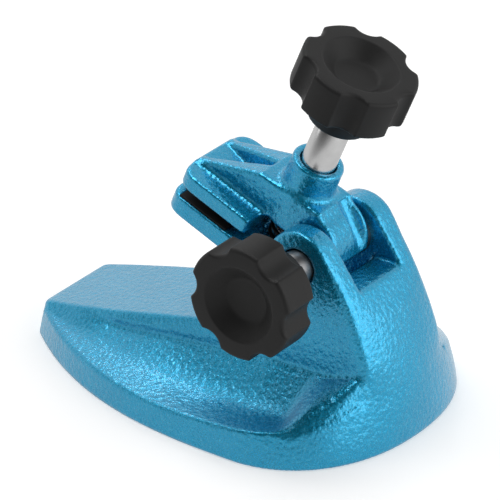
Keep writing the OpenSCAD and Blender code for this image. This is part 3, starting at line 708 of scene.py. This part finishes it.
# Knob surface, from the socket of the shank over the hub and the lobes to the dish: the lobes' rows are steps
# from the star outline, r = a + R(angle), and the others are plain radii, r = a.
def knobPoints():
    angle = np.arange(knob["columns"]) * 2 * math.pi / knob["columns"]
    e, z0, socket = knob["edge"], knob["hubHeight"], knob["gripDepth"]
    z1 = z0 + knob["height"]
    grip, hub = screw["shankDia"] / 2, knob["hubDia"] / 2
    flare = hub + knob["hubFlare"] / 2
    dish, floor, deep = knob["dishDia"] / 2, knob["dishFloor"] / 2, z1 - knob["dishDepth"]
    fillet, lip = knob["filletCentre"], knob["lipCentre"]
    under = [(0, socket), (grip, socket)] + cornerRow(grip, 0, knob["mouthCorner"]) \
        + cornerRow(hub, 0, knob["hubCorner"]) + cornerRow(flare, z0, knob["flareCorner"]) \
        + arcRow((flare + fillet[0], z0 + fillet[1]), knob["filletRound"], 180, 90, 5) \
        + cornerRow(flare, z0, knob["underCorner"])
    lobes = arcRow((-e, z0 + e), e, -90, 0, 7) + [(0, z) for z in np.linspace(z0 + e, z1 - e, 6)[1:-1]] \
        + arcRow((-e, z1 - e), e, 0, 90, 8)
    over = cornerRow(dish, z1, knob["lipCorner"]) \
        + arcRow((dish + lip[0], z1 + lip[1]), knob["lipRound"], 90, 140, 6) \
        + cornerRow(floor, deep, knob["floorCorner"]) + [(0, deep)]
    a, z = np.array(under + lobes + over, float).T
    onStar = np.repeat([0, 1, 0], [len(under), len(lobes), len(over)])
    return roundPoints(a[:, None] + onStar[:, None] * starRadius(angle), angle, z), len(z), knob["columns"]


# Screw surface: r = shank above the shoulder; below it a thread, r = R - d clip(f / 2 - f |t - 1/2|, 0, 1) with
# t the share of a turn, and the groove for the clip.
def screwPoints(shank, stud, groove):
    columns, flank = screw["columns"], screw["threadFlank"]
    top = shank + knob["gripDepth"]
    big, small = screw["shankDia"] / 2, screw["studDia"] / 2
    upper = [(0, top), (big, top)] + cornerRow(big, 0, screw["shoulderCorner"]) \
        + cornerRow(small, 0, screw["rootCorner"])
    z = np.arange(-screw["threadFrom"], -stud + screw["pointRun"], -screw["threadStep"])
    tail = cornerRow(small, -stud, screw["pointCorner"]) + [(0, -stud)]
    zs = np.concatenate([[h for r, h in upper], z, [h for r, h in tail]])
    angle = np.arange(columns) * 2 * math.pi / columns
    turn = (z[:, None] / screw["pitch"] - angle[None, :] / (2 * math.pi)) % 1.0
    thread = small - screw["threadDepth"] * np.clip(flank / 2 - flank * np.abs(turn - 0.5), 0, 1)
    thread = np.where((z[:, None] < -groove) & (z[:, None] > -groove - screw["clipThick"]) & (groove > 0),
                      screw["clipGroove"] / 2, thread)
    r = np.concatenate([np.repeat([[r] for r, h in upper], columns, 1), thread,
                        np.repeat([[r] for r, h in tail], columns, 1)])
    return roundPoints(r, angle, zs), len(zs), columns


# Points round z, turned about it and laid along the pivot.
def onPivot(points, along, turn=0.0):
    t = math.radians(turn)
    x, y, z = points.T
    x, y = x * math.cos(t) - y * math.sin(t), x * math.sin(t) + y * math.cos(t)
    return np.stack([along + z, y, foot["pivotHeight"] - x], 1)


# Points round z, moved to the clamp screw's axis in the tilted head.
def onScrew(points, along):
    return fromHead(points + np.array([0, -head["screwOffset"], along]))


pivotSeat = foot["slotWidth"] / 2  # where the side screw's shoulder stops
pivotRun = foot["postWidth"] / 2 - pivotSeat + screw["pivotShank"]
clampSeat = head["plateTop"] + head["seatHeight"] + screw["washerThick"] + 2 * screw["fit"]
clampRun = head["plateTop"] + head["bossHeight"] - clampSeat + screw["clampShank"]
clipDepth = clampSeat - gapLow + head["lowerThick"] + head["lowerDeep"] + head["lowerBoss"] \
    + screw["openTravel"] + 2 * screw["fit"]

points, rows, columns = knobPoints()
quads = gridQuads(rows, columns)
makePiece("clampStarKnob", onScrew(points, clampSeat + clampRun), quads, plastic,
          "clamp_handle", "clamp_knob")
makePiece("tiltStarKnob", onPivot(points, pivotSeat + pivotRun, knob["sideTurn"]), quads, plastic,
          "tilt_handle", "pivot_knob")
points, rows, columns = screwPoints(clampRun, clipDepth + 2 * screw["clipThick"], clipDepth)
makePiece("clampScrewSteel", onScrew(points, clampSeat), gridQuads(rows, columns)[:, ::-1], steel,
          "clamp_handle", "clamp_screw")
points, rows, columns = screwPoints(pivotRun, pivotSeat + foot["postWidth"] / 2 - 1, 0)
makePiece("tiltScrewSteel", onPivot(points, pivotSeat), gridQuads(rows, columns)[:, ::-1], greySteel,
          "tilt_handle", "pivot_screw")
print("knobs and screws made")

# Spring between the jaws, round the clamp screw.
spring = {"wire": 1.3, "mean": 6.0, "turns": 4.0, "rings": 160, "sides": 14}


# Spring: a tube of the wire's radius round the helix (m cos a, m sin a, z0 + p a / 2 pi), closed at both ends.
def springPoints(low, high):
    rings, sides = spring["rings"], spring["sides"]
    share = np.pad(np.linspace(0, 1, rings - 2), 1, mode="edge")[:, None]
    thick = np.full((rings, 1), spring["wire"] / 2)
    thick[[0, -1]] = 1e-4
    a = share * spring["turns"] * 2 * math.pi
    b = np.arange(sides)[None, :] * 2 * math.pi / sides
    r = spring["mean"] + thick * np.cos(b)
    z = low + (high - low) * share + thick * np.sin(b)
    return np.stack([r * np.cos(a), -r * np.sin(a), z], -1).reshape(-1, 3)


springLow = gapLow + spring["wire"] / 2 + screw["fit"]
springHigh = head["plateTop"] + head["springSeat"] - spring["wire"] / 2 - screw["fit"]
springEnds = onScrew(np.array([(0, 0, springHigh), (0, 0, springLow)]), 0.0) * mm
# The spring's near-black steel is partly painted shade: it lets the coil read as the dark gap between the jaws.
makePiece("jawSpringCoil", onScrew(springPoints(springLow, springHigh), 0.0),
          gridQuads(spring["rings"], spring["sides"]), blackSteelAndShade, "clamp_head", "jaw_spring",
          ("moving_jaw", *springEnds.tolist()))  # on the stand the jaw presses its lower end up or lets it out; these ends are passed but not used
for node, material in (("pivot_friction_washer", greySteel), ("pivot_thrust_washer", steel),
                       ("upper_jaw_pad", rubber), ("lower_jaw_pad", rubber), ("jaw_guide_pin", steel),
                       ("clamp_washer", steel), ("clamp_clip", greySteel)):
    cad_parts[node].data.materials.clear()
    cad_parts[node].data.materials.append(material)
print("spring made and small parts finished")

# Studio, in metres: a white paper floor that goes over into a white backdrop, and a pale sky with a dark card
# high up over the side knob.
studio = {
    "floorHalf": 6.0, "fadeFrom": 0.6, "fadeTo": 1.6, "nearGrey": 0.8, "farGrey": 0.0, "nearGlow": -0.25,
    "farGlow": 0.42, "bounceGrey": 0.3, "bounceGlow": 0.58, "paperRough": 0.9,
    "cardSide": (0.6, 0.1, 0.79), "cardFrom": 0.35, "cardTo": 0.85, "skyLight": 0.88, "cardLight": 0.04,
}


# Paper floor: what the camera sees fades from grey paper with a shadow to plain white; other rays see one grey.
def makeFloor():
    mesh = bpy.data.meshes.new("floor")
    s = studio["floorHalf"]
    mesh.from_pydata([(-s, -s, 0), (s, -s, 0), (s, s, 0), (-s, s, 0)], [], [(0, 1, 2, 3)])
    floor = bpy.data.objects.new("floor", mesh)
    bpy.context.scene.collection.objects.link(floor)
    material, tree, shader, where = newMaterial("whitePaper")
    seen = addNode(tree, "ShaderNodeLightPath").outputs["Is Camera Ray"]
    reach = addNode(tree, "ShaderNodeVectorMath", {0: where}, operation="LENGTH").outputs["Value"]
    fade = {"Value": reach, "From Min": studio["fadeFrom"], "From Max": studio["fadeTo"]}
    pale = addNode(tree, "ShaderNodeMapRange",
                   {**fade, "To Min": studio["nearGrey"], "To Max": studio["farGrey"]})
    glow = addNode(tree, "ShaderNodeMapRange",
                   {**fade, "To Min": studio["nearGlow"], "To Max": studio["farGlow"]})
    grey = addNode(tree, "ShaderNodeMix", {0: seen, 6: (*(studio["bounceGrey"],) * 3, 1), 7: pale.outputs[0]},
                   data_type="RGBA")
    light = addNode(tree, "ShaderNodeMath", {0: seen, 1: glow.outputs[0], 2: studio["bounceGlow"]},
                    operation="MULTIPLY_ADD")
    tree.links.new(grey.outputs[2], shader.inputs["Base Color"])
    tree.links.new(light.outputs[0], shader.inputs["Emission Strength"])
    shader.inputs["Emission Color"].default_value = (1, 1, 1, 1)
    shader.inputs["Roughness"].default_value = studio["paperRough"]
    shader.inputs["Specular IOR Level"].default_value = 0.0
    mesh.materials.append(material)


def makeWorld():
    world = bpy.data.worlds.new("studio")
    bpy.context.scene.world = world
    world.use_nodes = True
    tree = world.node_tree
    tree.nodes.clear()
    seen = addNode(tree, "ShaderNodeLightPath").outputs["Is Camera Ray"]
    way = addNode(tree, "ShaderNodeTexCoord").outputs["Generated"]
    toCard = addNode(tree, "ShaderNodeVectorMath", {0: way, 1: studio["cardSide"]}, operation="DOT_PRODUCT")
    tent = addNode(tree, "ShaderNodeMapRange", {
        "Value": toCard.outputs["Value"], "From Min": studio["cardFrom"], "From Max": studio["cardTo"],
        "To Min": studio["skyLight"], "To Max": studio["cardLight"],
    })
    soft = addNode(tree, "ShaderNodeBackground", {"Color": (1, 1, 1, 1), "Strength": tent.outputs[0]})
    white = addNode(tree, "ShaderNodeBackground", {"Color": (1, 1, 1, 1), "Strength": 1.0})
    mix = addNode(tree, "ShaderNodeMixShader", {0: seen, 1: soft.outputs[0], 2: white.outputs[0]})
    out = addNode(tree, "ShaderNodeOutputWorld")
    tree.links.new(mix.outputs[0], out.inputs["Surface"])


# Lamps in metres, each with its place, aim, size and watts.
lamps = {
    "topSoftbox": ((0.15, -0.25, 1.2), (0, -0.02, 0.04), (0.7, 0.7), 6.0),
    "rearWall": ((-0.15, 1.0, 0.45), (0, -0.02, 0.06), (1.2, 0.9), 5.0),
    "frontFill": ((0.8, -0.9, 0.75), (0, -0.02, 0.04), (0.4, 0.3), 0.4),
    "leftBox": ((-0.7, -0.8, 1.25), (0, -0.02, 0.04), (0.22, 0.22), 1.3),
}


def areaLamp(name, place, aim, size, watts):
    data = bpy.data.lights.new(name, "AREA")
    data.shape = "RECTANGLE"
    data.size, data.size_y = size
    data.energy = watts
    lamp = bpy.data.objects.new(name, data)
    lamp.location = place
    lamp.rotation_euler = (Vector(aim) - Vector(place)).to_track_quat("-Z", "Y").to_euler()
    bpy.context.scene.collection.objects.link(lamp)


# Camera fitted to the photo: azimuth from the front, focal length in pixels of a picture 500 wide, clip end in
# metres.
view = {
    "azimuth": 125.75, "elevation": 27.28, "focalPixels": 4158.0, "imagePixels": 500.0, "distance": 1341.3,
    "target": (47.27, 0.2, 77.26), "sensor": 36.0, "clipEnd": 50.0,
}


def makeCamera():
    a, e = math.radians(view["azimuth"]), math.radians(view["elevation"])
    back = Vector((math.sin(a) * math.cos(e), -math.cos(a) * math.cos(e), math.sin(e)))
    right = Vector((math.cos(a), math.sin(a), 0))
    up = back.cross(right)
    data = bpy.data.cameras.new("photoCamera")
    data.sensor_width = view["sensor"]
    data.lens = view["focalPixels"] * view["sensor"] / view["imagePixels"]
    data.clip_end = view["clipEnd"]
    camera = bpy.data.objects.new("photoCamera", data)
    place = (Vector(view["target"]) + back * view["distance"]) * mm
    turn = Matrix((right, up, back)).transposed().to_4x4()
    camera.matrix_world = Matrix.Translation(place) @ turn
    bpy.context.scene.collection.objects.link(camera)
    bpy.context.scene.camera = camera


makeFloor()
makeWorld()
makeCamera()
for name, settings in lamps.items():
    areaLamp(name, *settings)
bpy.context.scene.view_settings.view_transform = "Standard"
print("floor, lights and camera set")
